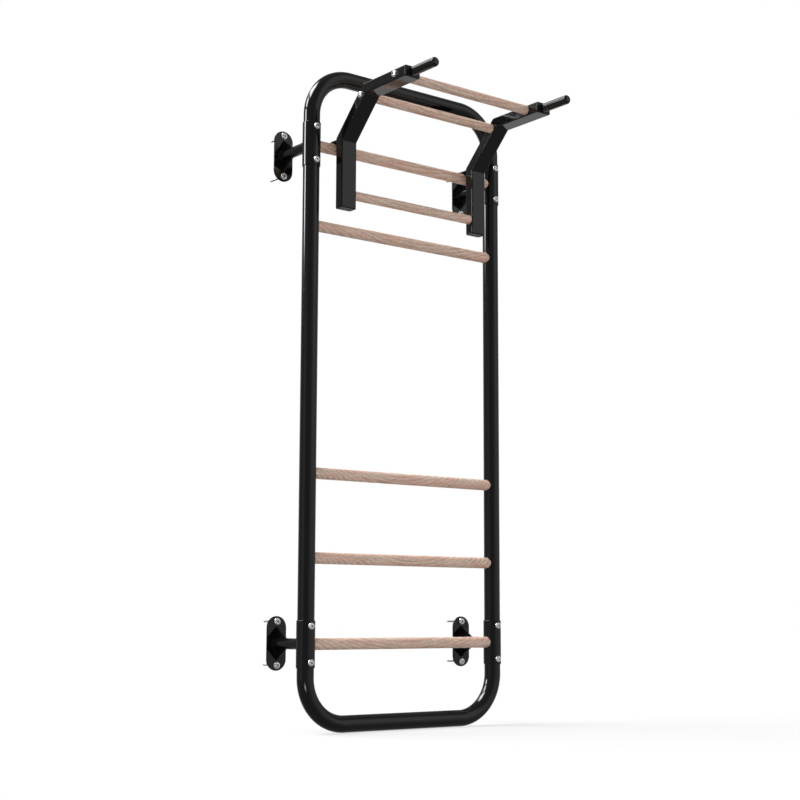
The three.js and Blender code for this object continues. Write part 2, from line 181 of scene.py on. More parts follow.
class Shell:
    """The vertices and faces of one piece, gathered shape by shape."""

    def __init__(self):
        self.points = []
        self.faces = []

    def rings(self, rings, place=None, looped=False):
        """Joins closed rings of equal count with quads. Ends are capped unless looped."""
        count = len(rings[0])
        base = len(self.points)
        for ring in rings:
            self.points += [place @ p if place else p for p in ring]
        last = len(rings) if looped else len(rings) - 1
        for i in range(last):
            a = base + i * count
            b = base + (i + 1) % len(rings) * count
            for j in range(count):
                k = (j + 1) % count
                self.faces.append((a + j, a + k, b + k, b + j))
        if not looped:
            self.faces.append(tuple(range(base, base + count))[::-1])
            end = base + last * count
            self.faces.append(tuple(range(end, end + count)))
        return self

    def lathe(self, profile, place, count, looped=False):
        """Turns a profile of (radius, height) points round an axis."""
        return self.rings([circle(r, t, count) for r, t in profile], place, looped)

    def bead(self, path, radius, outward, closed=False, ripple=0.0, count=10):
        """A round bead along a path. outward gives a direction across the path at each point."""
        rings = []
        travelled = 0.0
        for i, p in enumerate(path):
            before = path[i - 1] if i or closed else p
            after = path[(i + 1) % len(path)] if closed or i < len(path) - 1 else p
            side = (after - before).normalized().cross(outward(p)).normalized()
            up = side.cross(after - before).normalized()
            swell = radius * (1 + ripple * sin(2 * pi * travelled / WELD_PITCH))
            ring = [2 * pi * j / count for j in range(count)]
            rings.append([p + swell * (cos(a) * side + sin(a) * up) for a in ring])
            travelled += (after - p).length
        return self.rings(rings, looped=closed)

    def weld(self, path, outward, closed=False, radius=WELD_R):
        return self.bead(path, radius, outward, closed, WELD_RIPPLE)

    def mesh(self, name):
        mesh = mesh_of(name, self.points, self.faces)
        if inside_out(mesh):
            mesh.flip_normals()
        return smoothed(mesh)


def mesh_of(name, points, faces):
    mesh = bpy.data.meshes.new(name)
    mesh.from_pydata(points, [], faces)
    return mesh


def smoothed(mesh):
    mesh.shade_smooth()
    mesh.set_sharp_from_angle(angle=SHARP)
    return mesh


def inside_out(mesh):
    """Whether a closed mesh has a negative volume, because its faces point inwards."""
    mesh.calc_loop_triangles()
    corners = [[mesh.vertices[v].co for v in t.vertices] for t in mesh.loop_triangles]
    return sum(a.dot(b.cross(c)) for a, b, c in corners) < 0


def object_of(mesh):
    made = bpy.data.objects.new(mesh.name, mesh)
    bpy.context.scene.collection.objects.link(made)
    return made


def cut(mesh, tools):
    """Cuts closed meshes out of a mesh and returns the rest."""
    body = object_of(mesh)
    drills = [object_of(tool) for tool in tools]
    for drill in drills:
        step = body.modifiers.new("cut", "BOOLEAN")
        step.operation, step.solver, step.object = "DIFFERENCE", "EXACT", drill
    depsgraph = bpy.context.evaluated_depsgraph_get()
    result = bpy.data.meshes.new_from_object(body.evaluated_get(depsgraph))
    for made in [body, *drills]:
        bpy.data.objects.remove(made)
    return smoothed(result)


def join(name, meshes):
    """One mesh of several that don't share vertices."""
    points, faces = [], []
    for mesh in meshes:
        base = len(points)
        points += [v.co.copy() for v in mesh.vertices]
        faces += [tuple(base + v for v in f.vertices) for f in mesh.polygons]
    return smoothed(mesh_of(name, points, faces))


# Materials -----------------------------------------------------------------------------------


def colour(red, green, blue):
    return (red, green, blue, 1.0)


class Tree:
    """Calls that add nodes to a shader tree. In a keyword, _ stands for a space."""

    def __init__(self, tree):
        self.tree = tree

    def plug(self, value, socket):
        """Links another node's output to a socket, or sets the socket's own value."""
        if isinstance(value, bpy.types.NodeSocket):
            self.tree.links.new(value, socket)
        else:
            socket.default_value = value

    def plug_named(self, made, inputs):
        for key, value in inputs.items():
            self.plug(value, made.inputs[key.replace("_", " ")])
        return made

    def fill(self, made, *values):
        """Plugs values into a node's first sockets and returns its first output."""
        for socket, value in zip(made.inputs, values):
            self.plug(value, socket)
        return made.outputs[0]

    def node(self, kind, settings=None, **inputs):
        made = self.tree.nodes.new("ShaderNode" + kind)
        for key, value in (settings or {}).items():
            setattr(made, key, value)
        return self.plug_named(made, inputs)

    def math(self, operation, *values):
        return self.fill(self.node("Math", {"operation": operation}), *values)


class Finish(Tree):
    """A Principled material with a few calls for the nodes that feed it."""

    def __init__(self, name, **inputs):
        self.material = bpy.data.materials.new(name)
        self.material.use_nodes = True
        super().__init__(self.material.node_tree)
        self.shader = self.plug_named(self.tree.nodes["Principled BSDF"], inputs)

    def feed(self, socket, value):
        self.plug(value, self.shader.inputs[socket])

    def place(self):
        return self.node("TexCoord").outputs["Object"]

    def attribute(self, name, output):
        return self.node("Attribute", {"attribute_name": name}).outputs[output]

    def noise(self, vector, scale, detail=2.0, roughness=0.5):
        made = self.node("TexNoise", Vector=vector, Scale=scale, Detail=detail, Roughness=roughness)
        return made.outputs["Fac"]

    def streaks(self, vector, scales, detail, roughness=0.5):
        """Noise with its own scale along each axis."""
        stretched = self.node("Mapping", Vector=vector, Scale=scales).outputs["Vector"]
        return self.noise(stretched, 1, detail, roughness)

    def remap(self, value, low, high, to_low=0.0, to_high=1.0):
        """From low..high to to_low..to_high, held at the ends."""
        made = self.node(
            "MapRange", Value=value,
            From_Min=low, From_Max=high, To_Min=to_low, To_Max=to_high,
        )
        return made.outputs["Result"]

    def mix(self, factor, a, b):
        """Between two colours. The colour sockets of a Mix node are its seventh and eighth."""
        made = self.node("Mix", {"data_type": "RGBA", "blend_type": "MIX"})
        for index, value in ((0, factor), (6, a), (7, b)):
            self.plug(value, made.inputs[index])
        return made.outputs[2]

    def bump(self, height, strength, distance):
        made = self.node("Bump", Strength=strength, Distance=distance, Height=height)
        self.feed("Normal", made.outputs["Normal"])


def paint():
    """Black powder coat under a high gloss: faint orange peel, and slightly uneven polish."""
    made = Finish("black_paint", IOR=1.5)
    place = made.place()
    uneven = made.noise(place, 9, 3)
    deep, worn = colour(.0030, .0030, .0032), colour(.0052, .0051, .0052)
    made.feed("Base Color", made.mix(uneven, deep, worn))
    smears = made.noise(place, 45, 4, 0.6)
    made.feed("Roughness", made.remap(smears, 0.3, 0.75, 0.05, 0.12))
    peel = made.noise(place, 420, 1.5)
    made.bump(peel, 0.10, 0.05 * MM)
    return made.material


def beech():
    """Steamed beech: growth layers that sag to the middle of a bar, pink and tan, and fine rays.

    A bar's "grain" is its place in the tree, x along the trunk.
    """
    made = Finish("beech", IOR=1.45, Roughness=0.5)
    grain = made.attribute("grain", "Vector")
    layers = made.node(
        "TexWave", {"wave_type": "RINGS", "rings_direction": "Y", "wave_profile": "SAW"},
        Vector=grain, Scale=27,
        Distortion=3.6, Detail=4.0, Detail_Scale=2.4, Detail_Roughness=0.65,
    ).outputs["Fac"]

    bands = made.streaks(grain, (9, 30, 90), 2)
    tan, pink = colour(.83, .66, .53), colour(.86, .565, .455)
    wood = made.mix(made.remap(bands, 0.42, 0.58), tan, pink)

    season = made.remap(made.streaks(grain, (14, 60, 60), 1), 0.35, 0.65, 0.30, 0.85)
    late = made.math("MULTIPLY", made.remap(layers, 0.35, 1.0), season)
    wood = made.mix(late, wood, colour(.44, .265, .19))

    flecks = made.streaks(grain, (95, 360, 360), 2, 0.6)
    wood = made.mix(made.remap(flecks, 0.48, 0.66, 0.0, 0.52), wood, colour(.42, .26, .20))

    fibre = made.streaks(grain, (30, 700, 700), 3, 0.6)
    wood = made.mix(made.remap(fibre, 0.40, 0.66, 0.0, 0.4), wood, colour(.40, .265, .21))

    rays = made.remap(made.streaks(grain, (170, 1500, 1500), 0), 0.68, 0.74, 0.0, 0.6)
    made.feed("Base Color", made.mix(rays, wood, colour(.20, .11, .075)))
    made.feed("Roughness", made.remap(fibre, 0.3, 0.7, 0.42, 0.60))
    made.bump(made.math("SUBTRACT", fibre, rays), 0.25, 0.08 * MM)
    return made.material


def zinc():
    """Bright zinc plate with a faint haze and tool marks, and painted shade: a point attribute
    darkens and roughens it in sockets and on threads.
    """
    made = Finish("zinc_steel", Metallic=0.78)
    place = made.place()
    haze = made.noise(place, 160, 2)
    plate = made.mix(haze, colour(.94, .94, .94), colour(.98, .98, .97))
    painted_shade = made.attribute("painted_shade", "Fac")
    # Painted shade: where the attribute is set, the plating turns near black.
    made.feed("Base Color", made.mix(painted_shade, plate, colour(.17, .17, .175)))
    polish = made.remap(haze, 0.3, 0.7, 0.10, 0.20)
    made.feed("Roughness", made.math("ADD", polish, made.math("MULTIPLY", painted_shade, 0.25)))
    tool_marks = made.noise(place, 1500, 2)
    made.bump(tool_marks, 0.05, 0.03 * MM)
    return made.material


def moulded():
    """Moulded black plastic with a fine spark-eroded grain."""
    made = Finish("black_plastic", IOR=1.5, Specular_IOR_Level=0.28)
    place = made.place()
    dark, light = colour(.010, .009, .0085), colour(.016, .0145, .0135)
    made.feed("Base Color", made.mix(made.noise(place, 30), dark, light))
    made.feed("Roughness", made.remap(made.noise(place, 120, 3), 0.3, 0.7, 0.28, 0.42))
    made.bump(made.noise(place, 1900, 2), 0.35, 0.04 * MM)
    return made.material


def gloss_grip():
    """Dipped glossy black grip, slightly wavy as dipped vinyl is."""
    made = Finish("gloss_grip", IOR=1.5)
    place = made.place()
    dark, light = colour(.0035, .0035, .0035), colour(.007, .0065, .006)
    made.feed("Base Color", made.mix(made.noise(place, 20), dark, light))
    made.feed("Roughness", made.remap(made.noise(place, 60, 3), 0.3, 0.7, 0.06, 0.12))
    made.bump(made.noise(place, 120, 1), 0.015, 0.12 * MM)
    return made.material


FINISHES = {
    "black_paint": paint(),
    "beech": beech(),
    "zinc_steel": zinc(),
    "black_plastic": moulded(),
    "gloss_grip": gloss_grip(),
}
SLOTS = {row["node"]: row["material_slot"] for row in frame["record"]["subparts"]}
BODIES = {n: body for body, nodes in frame["record"]["behaviour"]["bodies"].items() for n in nodes}


def stand_for(node, mesh, even=True):
    """Puts a finished mesh in the place of a CAD node, on its body and in its finish."""
    mesh.name = node + "_shown"
    made = object_of(mesh)
    if even:  # large faces keep their own normals, and rounded edges take up the turn
        made.modifiers.new("even", "WEIGHTED_NORMAL").keep_sharp = True
    mesh.materials.append(FINISHES[SLOTS[node]])
    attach(made, BODIES[node])
    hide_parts(node)


def middle(node):
    low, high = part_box(node)
    return (low + high) / 2


def half(node):
    low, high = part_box(node)
    return (high - low) / 2


# Frame ---------------------------------------------------------------------------------------

RUNGS = [f"rung_{i}" for i in range(1, 6)]
TUBE_R = half("left_upright").x
RUNG_R = half("rung_1").z
HALF_SPACING = middle("right_upright").x  # centreline to an upright
FRAME_Y = middle("left_upright").y


def annulus(outer, wall, bottom, top, edge=0.0, steps=4):
    """The closed profile of a straight tube, its outer edges rounded."""
    inner = outer - wall
    if not edge:
        return [(inner, bottom), (outer, bottom), (outer, top), (inner, top)]
    lower = arc((outer - edge, bottom + edge), edge, -90, 0, steps)
    upper = arc((outer - edge, top - edge), edge, 0, 90, steps)
    return [(inner, bottom), *lower, *upper, (inner, top)]


def rung_drill(post_x, inward, z):
    """What cuts a rung's hole through the side of a post that faces the other post."""
    start = Vector((post_x, FRAME_Y, z))
    profile = [(RUNG_R + FIT_GAP, 0), (RUNG_R + FIT_GAP, DRILL_LENGTH)]
    return Shell().lathe(profile, along(start, inward * X), BAR_ROUND).mesh("drill")


def hole_lip(shell, post, inward, radius, z):
    """The slightly turned-out edge of a rung's hole in a post of that radius."""
    path = []
    for i in range(BAR_ROUND):
        a = 2 * pi * i / BAR_ROUND
        y, up = (RUNG_R + HOLE_LIP_OUT) * cos(a), (RUNG_R + HOLE_LIP_OUT) * sin(a)
        x = inward * (sqrt(radius**2 - y**2) - HOLE_LIP_SINK)
        path.append(post + Vector((x, y, up + z)))
    return shell.bead(path, HOLE_LIP_R, lambda p: p - post - Vector((0, 0, z)), closed=True)


def round_off_tube(mesh, post, radii):
    """Exact normals for a post's own wall, and the mesh's own normals for everything else."""
    own = [n.vector.copy() for n in mesh.corner_normals]
    normals = []
    for face in mesh.polygons:
        mid = face.center - post
        mid.z = 0
        at_wall = any(abs(mid.length - r) < WALL_SLACK for r in radii)
        follows = abs(face.normal.dot(mid.normalized())) > WALL_TURN
        sign = 1 if face.normal.dot(mid) > 0 else -1
        for corner in face.vertices:
            out = mesh.vertices[corner].co - post
            out.z = 0
            exact = sign * out.normalized()
            normals.append(exact if at_wall and follows else own[len(normals)])
    mesh.normals_split_custom_set(normals)


def upright(node, inward):
    low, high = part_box(node)
    post = Vector((middle(node).x, FRAME_Y, 0))
    profile = annulus(TUBE_R, TUBE_WALL, low.z, high.z)
    tube = Shell().lathe(profile, Matrix.Translation(post), ROUND, looped=True).mesh("tube")
    heights = [middle(rung).z for rung in RUNGS]
    tube = cut(tube, [rung_drill(post.x, inward, z) for z in heights])
    lips = Shell()
    for z in heights[1:-1]:
        hole_lip(lips, post, inward, TUBE_R, z)
    mesh = join(node, [tube, lips.mesh("lips")])
    round_off_tube(mesh, post, (TUBE_R, TUBE_R - TUBE_WALL))
    stand_for(node, mesh, even=False)


def bend(node, up):
    """A U of tube in the frame's plane, its crown at the top (up = 1) or the bottom (up = -1)."""
    low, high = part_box(node)
    crown = high.z - TUBE_R if up > 0 else low.z + TUBE_R
    leg_end = low.z if up > 0 else high.z
    corner_x = HALF_SPACING - CORNER_R
    path = [(Vector((-HALF_SPACING, FRAME_Y, leg_end)), -X)]
    for centre_x, start in ((-corner_x, 180), (corner_x, 90)):
        centre = Vector((centre_x, FRAME_Y, crown - up * CORNER_R))
        for i in range(BEND_STEPS + 1):
            a = radians(start - 90 * i / BEND_STEPS)
            out = Vector((cos(a), 0, up * sin(a)))
            path.append((centre + CORNER_R * out, out))
    path.append((Vector((HALF_SPACING, FRAME_Y, leg_end)), X))
    rings = []
    angles = [2 * pi * j / ROUND for j in range(ROUND)]
    for radius, route in ((TUBE_R, path), (TUBE_R - TUBE_WALL, path[::-1])):
        for centre, out in route:
            rings.append([centre + radius * (cos(a) * out + sin(a) * Y) for a in angles])
    stand_for(node, Shell().rings(rings, looped=True).mesh(node))


# How far above each bar the layers of its tree are centred. A smaller value curves them more.
SAGS = [0.62, 0.38, 0.34, 0.80, 0.95, 1.1, 1.6, 1.3]


def bar(node, index):
    """A wooden bar along x with softened ends. index picks how its grain was cut."""
    low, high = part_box(node)
    radius = half(node).z
    length = high.x - low.x
    ends = arc((radius - BAR_EDGE_R, BAR_EDGE_R), BAR_EDGE_R, -90, 0, 4)
    far = [(r, length - t) for r, t in reversed(ends)]
    start = Vector((low.x, middle(node).y, middle(node).z))
    mesh = Shell().lathe([*ends, *far], along(start, X), BAR_ROUND).mesh(node)
    stand_for(node, mesh)
    off_middle = 0.03 * sin(2.4 * index)
    across_tree = 0.31 * index
    grain = np.zeros((len(mesh.vertices), 3), np.float32)
    for v in mesh.vertices:
        x, y, z = v.co.x - off_middle, v.co.y - start.y, v.co.z - start.z
        grain[v.index] = x, y + across_tree, z - SAGS[index]
    mesh.attributes.new("grain", "FLOAT_VECTOR", "POINT").data.foreach_set("vector", grain.ravel())


# Fasteners -----------------------------------------------------------------------------------


def hexagon(across_flats, height, count):
    """A ring of points round a hexagon."""
    ring = []
    for i in range(count):
        a = 2 * pi * i / count
        off = (a + pi / 6) % (pi / 3) - pi / 6
        r = across_flats / 2 / cos(off)
        ring.append(Vector((r * cos(a), r * sin(a), height)))
    return ring


def thread(crest, length, count):
    """Rings of a coarse wood-screw thread down to a gimlet point, after a short plain neck."""
    core = THREAD_CORE * crest
    rings = [circle(THREAD_NECK_R * crest, -THREAD_NECK, count)]
    steps = int((length - THREAD_NECK) / THREAD_PITCH * THREAD_STEPS)
    for k in range(1, steps + 1):
        depth = THREAD_NECK + (length - THREAD_NECK) * k / steps
        taper = min(1.0, (length - depth + THREAD_BLUNT) / THREAD_POINT)
        ring = []
        for i in range(count):
            a = 2 * pi * i / count
            phase = (depth / THREAD_PITCH + i / count) % 1.0
            ridge = max(0.0, 1 - abs(phase - 0.5) * 4)
            r = taper * (core + (crest - core) * ridge)
            ring.append(Vector((r * cos(a), r * sin(a), -depth)))
        rings.append(ring)
    return rings


def socket_head(radius, height, count):
    """Rings from the middle of a hex socket, over the dome and in to the seat of the head."""
    flats = SOCKET_WIDTH * radius
    floor_z = height - SOCKET_DEPTH
    top_r = HEAD_TOP * radius
    rings = [
        hexagon(0.5 * flats, floor_z - SOCKET_CONE, count),
        hexagon(flats, floor_z, count),
        hexagon(flats, height - SOCKET_FLARE_DEPTH, count),
        hexagon(SOCKET_FLARE * flats, height, count),
    ]
    for i in range(9):
        a = radians(90 - 10 * i)
        r = top_r + (radius - top_r) * cos(a)
        rings.append(circle(r, HEAD_RIM + (height - HEAD_RIM) * sin(a), count))
    rings.append(circle(radius, HEAD_RIM, count))
    rings.append(circle(radius - HEAD_SEAT_EDGE, 0, count))
    return rings


def socket_screw(node, outward, threaded, spin):
    """A button-head screw with a hex socket. Its seat is at the local origin, head along z."""
    low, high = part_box(node)
    size = half(node)
    axis = axis_of(outward)
    head_r = max(size[i] for i in range(3) if i != axis)
    shank_r = WALL_SCREW_R if threaded else BOLT_SHANK_R
    height = WALL_SCREW_HEAD if threaded else BOLT_HEAD
    seat = middle(node)
    seat[axis] = (high if outward[axis] > 0 else low)[axis] - outward[axis] * height
    length = 2 * size[axis] - height
    rings = socket_head(head_r, height, SCREW_ROUND)
    rings.append(circle(shank_r, 0, SCREW_ROUND))
    if threaded:
        rings += thread(shank_r, length, SCREW_ROUND)
    else:
        rings.append(circle(shank_r, BOLT_TIP - length, SCREW_ROUND))
        rings.append(circle(BOLT_TIP_R * shank_r, -length, SCREW_ROUND))
    place = along(seat, outward) @ Matrix.Rotation(spin, 4, "Z")
    mesh = Shell().rings(rings, place).mesh(node)
    stand_for(node, mesh)
    # Painted shade in the socket's first three rings, and on a wall screw's thread past
    # THREAD_START.
    in_socket = 3 * SCREW_ROUND  # the first three rings
    painted_shade = [SOCKET_PAINTED_SHADE if v.index < in_socket else 0.0 for v in mesh.vertices]
    if threaded:
        buried = [(v.co - seat).dot(outward) < -THREAD_START for v in mesh.vertices]
        painted_shade = [THREAD_PAINTED_SHADE if deep else tone for deep, tone in zip(buried, painted_shade)]
    mesh.attributes.new("painted_shade", "FLOAT", "POINT").data.foreach_set("value", painted_shade)


# Wall brackets -------------------------------------------------------------------------------


def sleeve(node, inward):
    low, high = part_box(node)
    radius = half(node).x
    post = Vector((middle(node).x, FRAME_Y, 0))
    profile = annulus(radius, radius - TUBE_R - FIT_GAP, low.z, high.z, SLEEVE_EDGE_R)
    tube = Shell().lathe(profile, Matrix.Translation(post), ROUND, looped=True).mesh("tube")
    z = middle(node).z
    tube = cut(tube, [rung_drill(post.x, inward, z)])
    lip = hole_lip(Shell(), post, inward, radius, z).mesh("lip")
    mesh = join(node, [tube, lip])
    round_off_tube(mesh, post, (radius,))
    stand_for(node, mesh, even=False)


def strut(node, sleeve_r):
    """The round strut, saddled onto the sleeve and welded at both ends."""
    plate_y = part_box(node)[1].y
    axis = middle(node)
    radius = half(node).x

    def saddle(a, r, lift=0.0):
        x = r * cos(a)
        y = FRAME_Y + sqrt((sleeve_r + lift) ** 2 - x * x)
        return Vector((axis.x + x, y, axis.z + r * sin(a)))

    def outward(p):
        return p - Vector((axis.x, p.y, axis.z))

    front = [saddle(2 * pi * i / BAR_ROUND, radius) for i in range(BAR_ROUND)]
    back = [Vector((p.x, plate_y, p.z)) for p in front]
    shell = Shell().rings([front, back])
    angles = [2 * pi * i / WELD_STEPS for i in range(WELD_STEPS)]
    at_sleeve = [saddle(a, radius + WELD_OUT, WELD_LIFT) for a in angles]
    at_plate = [Vector((p.x, plate_y - WELD_TUCK, p.z)) for p in at_sleeve]
    shell.weld(at_sleeve, outward, closed=True)
    shell.weld(at_plate, outward, closed=True)
    stand_for(node, shell.mesh(node))


def obround(half_width, half_height, inset, y, steps=24):
    """A ring round the outline of a plate with full-round ends, set in by an inset."""
    ring = []
    rise = half_height - half_width
    for centre, start in ((rise, 0), (-rise, pi)):
        for i in range(steps + 1):
            a = start + pi * i / steps
            r = half_width - inset
            ring.append(Vector((r * cos(a), y, centre + r * sin(a))))
    return ring


def gusset(shell, place, up, reach, strut_r):
    """A triangular web with softened edges and a weld on each side along the plate and strut."""
    foot = strut_r + GUSSET_GAP
    root = -PLATE_THICKNESS + GUSSET_ROOT
    corners = [
        (-reach, foot),
        (root, foot),
        (root, GUSSET_RISE),
        (-PLATE_THICKNESS, GUSSET_RISE),
        (-reach, foot + GUSSET_TOE),
    ]
    mid = Vector((0, sum(y for y, _ in corners) / 5, sum(z for _, z in corners) / 5))
    half_t, edge = GUSSET_HALF, GUSSET_EDGE_R
    layers = [(-half_t, edge), (-half_t + 0.3 * edge, 0.3 * edge), (-half_t + edge, 0)]
    layers += [(-x, inset) for x, inset in reversed(layers)]
    rings = []
    for x, inset in layers:
        ring = []
        for y, z in corners:
            inward = mid - Vector((0, y, z))
            p = Vector((x, y, z)) + inward.normalized() * inset
            ring.append(Vector((p.x, p.y, up * p.z)))
        rings.append(ring)
    shell.rings(rings, place)
    steps = [i / GUSSET_WELD_STEPS for i in range(GUSSET_WELD_STEPS + 1)]
    length = reach - PLATE_THICKNESS
    for side in (-1, 1):
        x = side * half_t
        plate_y, strut_z = -PLATE_THICKNESS - WELD_LIFT, up * (foot - GUSSET_WELD_SINK)
        on_plate = [Vector((x, plate_y, up * (foot + (GUSSET_RISE - foot) * t))) for t in steps]
        on_strut = [Vector((x, -PLATE_THICKNESS - length * t, strut_z)) for t in steps]
        for route in (on_plate, on_strut):
            shell.weld([place @ p for p in route], lambda p: X * side, radius=FILLET_R)


def wall_plate(node, strut_node):
    """The obround plate with its rounded rim, and two gussets welded between it and the strut."""
    reach = -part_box(node)[0].y
    centre = Vector((middle(node).x, 0, middle(node).z))
    size = half(node)
    place = Matrix.Translation(centre)
    edge = PLATE_EDGE_R
    turns = [pi / 8 * i for i in range(5)]
    rim = [(edge * (1 - sin(a)), edge * (1 - cos(a))) for a in turns]
    profile = [(inset, -back) for inset, back in rim]
    profile += [(inset, back - PLATE_THICKNESS) for inset, back in reversed(rim)]
    shell = Shell().rings([obround(size.x, size.z, inset, y) for inset, y in profile], place)
    for up in (1, -1):
        gusset(shell, place, up, reach, half(strut_node).x)
    stand_for(node, shell.mesh(node))


# Pull-up unit --------------------------------------------------------------------------------


def rounded_rectangle(half_x, half_d, radius, steps=6):
    """Points (x, d) round a rectangle's outline."""
    points = []
    for sx, sd, start in ((1, 1, 0), (-1, 1, 90), (-1, -1, 180), (1, -1, 270)):
        centre = sx * (half_x - radius), sd * (half_d - radius)
        points += arc(centre, radius, start, start + 90, steps)
    return points


def arm_corners(node, foot_cap, end_cap):
    """The corners of an arm's centreline in the side view: foot, bend, elbow and front end."""
    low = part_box(node)[0]
    lower_y = middle(foot_cap).y
    upper_z = middle(end_cap).z
    bend_z = middle("rung_5").z + BEND_RISE
    elbow_y = lower_y - (upper_z - bend_z)
    return [
        Vector((0, lower_y, low.z)),
        Vector((0, lower_y, bend_z)),
        Vector((0, elbow_y, upper_z)),
        Vector((0, low.y, upper_z)),
    ]


def route_of(corners, offset):
    """A polyline offset to one side of the arm's centreline, its corners eased over a fillet."""
    legs = [(b - a).normalized() for a, b in zip(corners, corners[1:])]
    sides = [Vector((0, -leg.z, leg.y)) for leg in legs]
    points = [corners[0] + offset * sides[0]]
    for k in (1, 2):
        a, b = sides[k - 1], sides[k]
        tip = corners[k] + offset * (a + b) / (1 + a.dot(b))
        start, end = tip - MITRE_R * legs[k - 1], tip + MITRE_R * legs[k]
        for i in range(MITRE_STEPS + 1):
            t = i / MITRE_STEPS
            points.append((1 - t) ** 2 * start + 2 * t * (1 - t) * tip + t**2 * end)
    points.append(corners[3] + offset * sides[2])
    return points


def tube_rings(corners, centre_x, section):
    routes = [(x, route_of(corners, d)) for x, d in section]
    stations = len(routes[0][1])
    return [[route[i] + (centre_x + x) * X for x, route in routes] for i in range(stations)]


def arm(side):
    node, foot_cap = f"{side}_arm", f"{side}_foot_cap"
    corners = arm_corners(node, foot_cap, f"{side}_end_cap")
    centre_x, width, depth = middle(node).x, half(node).x, half(foot_cap).y
    outer = rounded_rectangle(width, depth, ARM_CORNER_R)
    inner = rounded_rectangle(width - ARM_WALL, depth - ARM_WALL, ARM_CORNER_R - ARM_WALL)
    rings = tube_rings(corners, centre_x, outer)
    rings += tube_rings(corners, centre_x, inner)[::-1]
    shell = Shell().rings(rings, looped=True)
    inward = -1 if centre_x > 0 else 1
    dowel = middle("lower_dowel")
    glue_r = half("lower_dowel").z + GLUE_R
    socket = Vector((centre_x + inward * width, dowel.y, dowel.z))
    angles = np.linspace(0, 2 * pi, 60, endpoint=False)
    path = [socket + glue_r * Vector((0, cos(a), sin(a))) for a in angles]
    shell.bead(path, GLUE_R, lambda p: p - socket, closed=True)
    stand_for(node, shell.mesh(node))


def cap(node, outward):
    """A plastic plug: a flange with softened edges, its face slightly crowned, and a stem."""
    low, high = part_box(node)
    centre = middle(node)
    size = half(node)
    axis = axis_of(outward)
    face, top = low[axis], high[axis] - low[axis]
    width, depth = size.x, size[1 if axis == 2 else 2]
    face_corner_r = ARM_CORNER_R + 6 * MM
    flange_corner_r = ARM_CORNER_R + 0.8 * MM
    stem = ARM_WALL + CAP_PLAY

    def ring(inset, level, corner):
        points = rounded_rectangle(width - inset, depth - inset, max(corner - inset, CAP_LEAST_R))
        if axis == 2:
            return [Vector((centre.x + x, centre.y + d, face + level)) for x, d in points]
        return [Vector((centre.x + x, face + level, centre.z + d)) for x, d in points]

    rings = [ring(share * depth, 0, face_corner_r) for share in (0.7, 0.35)]
    for degrees in (90, 67, 45, 22, 0):
        a = radians(degrees)
        inset, level = CAP_EDGE_R * (1 - cos(a)), CAP_CROWN + CAP_EDGE_R * (1 - sin(a))
        rings.append(ring(inset, level, flange_corner_r))
    rings.append(ring(0, CAP_FLANGE, flange_corner_r))
    rings.append(ring(stem, CAP_FLANGE, ARM_CORNER_R))
    rings.append(ring(stem, top - CAP_LEAD, ARM_CORNER_R))
    rings.append(ring(stem + CAP_LEAD_IN, top, ARM_CORNER_R))
    stand_for(node, Shell().rings(rings).mesh(node))


def handle(node):
    """A dipped grip: a soft collar where it meets the arm, a straight barrel and a round nose."""
    low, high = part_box(node)
    radius = half(node).x
    length = high.y - low.y - GRIP_STUB
    base = Vector((middle(node).x, low.y + length, middle(node).z))
    stub_r = GRIP_STUB_R * radius
    profile = [(stub_r, -GRIP_STUB), (stub_r, GRIP_GAP)]
    profile += arc((radius - GRIP_COLLAR_R, GRIP_GAP + GRIP_COLLAR_R), GRIP_COLLAR_R, -90, 0, 4)
    profile += arc((radius - GRIP_NOSE_R, length - GRIP_NOSE_R), GRIP_NOSE_R, 0, 90, 10)
    stand_for(node, Shell().lathe(profile, along(base, -Y), BAR_ROUND).mesh(node))


def hook(side):
    """The strap from an arm's back over the top rung, with welds where it meets the arm."""
    node = f"{side}_hook"
    low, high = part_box(node)
    centre_x, width = middle(node).x, half(node).x
    rung = middle("rung_5")
    outer = high.z - rung.z
    mid = outer - HOOK_THICKNESS / 2
    path = [(Vector((centre_x, low.y, rung.z + mid)), Z)]
    for i in range(HOOK_STEPS + 1):
        a = radians(90 - 90 * i / HOOK_STEPS)
        out = Vector((0, cos(a), sin(a)))
        path.append((Vector((centre_x, rung.y, rung.z)) + mid * out, out))
    leg_y = path[-1][0].y
    path.append((Vector((centre_x, leg_y, low.z + HOOK_TIP)), Y))
    section = rounded_rectangle(width, HOOK_THICKNESS / 2, HOOK_EDGE_R, 4)
    rings = [[p + x * X + d * out for x, d in section] for p, out in path]
    blunt = [(x * (1 - HOOK_EDGE_R / width), d * HOOK_TIP_DEPTH) for x, d in section]
    rings.append([Vector((centre_x, leg_y, low.z)) + x * X + d * Y for x, d in blunt])
    shell = Shell().rings(rings)
    for level in (outer + WELD_TUCK, outer - HOOK_THICKNESS - WELD_TUCK):
        start = Vector((centre_x - width + HOOK_WELD_INSET, low.y, rung.z + level))
        step = 2 * (width - HOOK_WELD_INSET) / HOOK_WELD_STEPS
        shell.weld([start + step * i * X for i in range(HOOK_WELD_STEPS + 1)], lambda p: Z)
    stand_for(node, shell.mesh(node))


# The whole object ----------------------------------------------------------------------------

CORNERS = [f"{level}_{side}" for level in ("lower", "upper") for side in ("left", "right")]


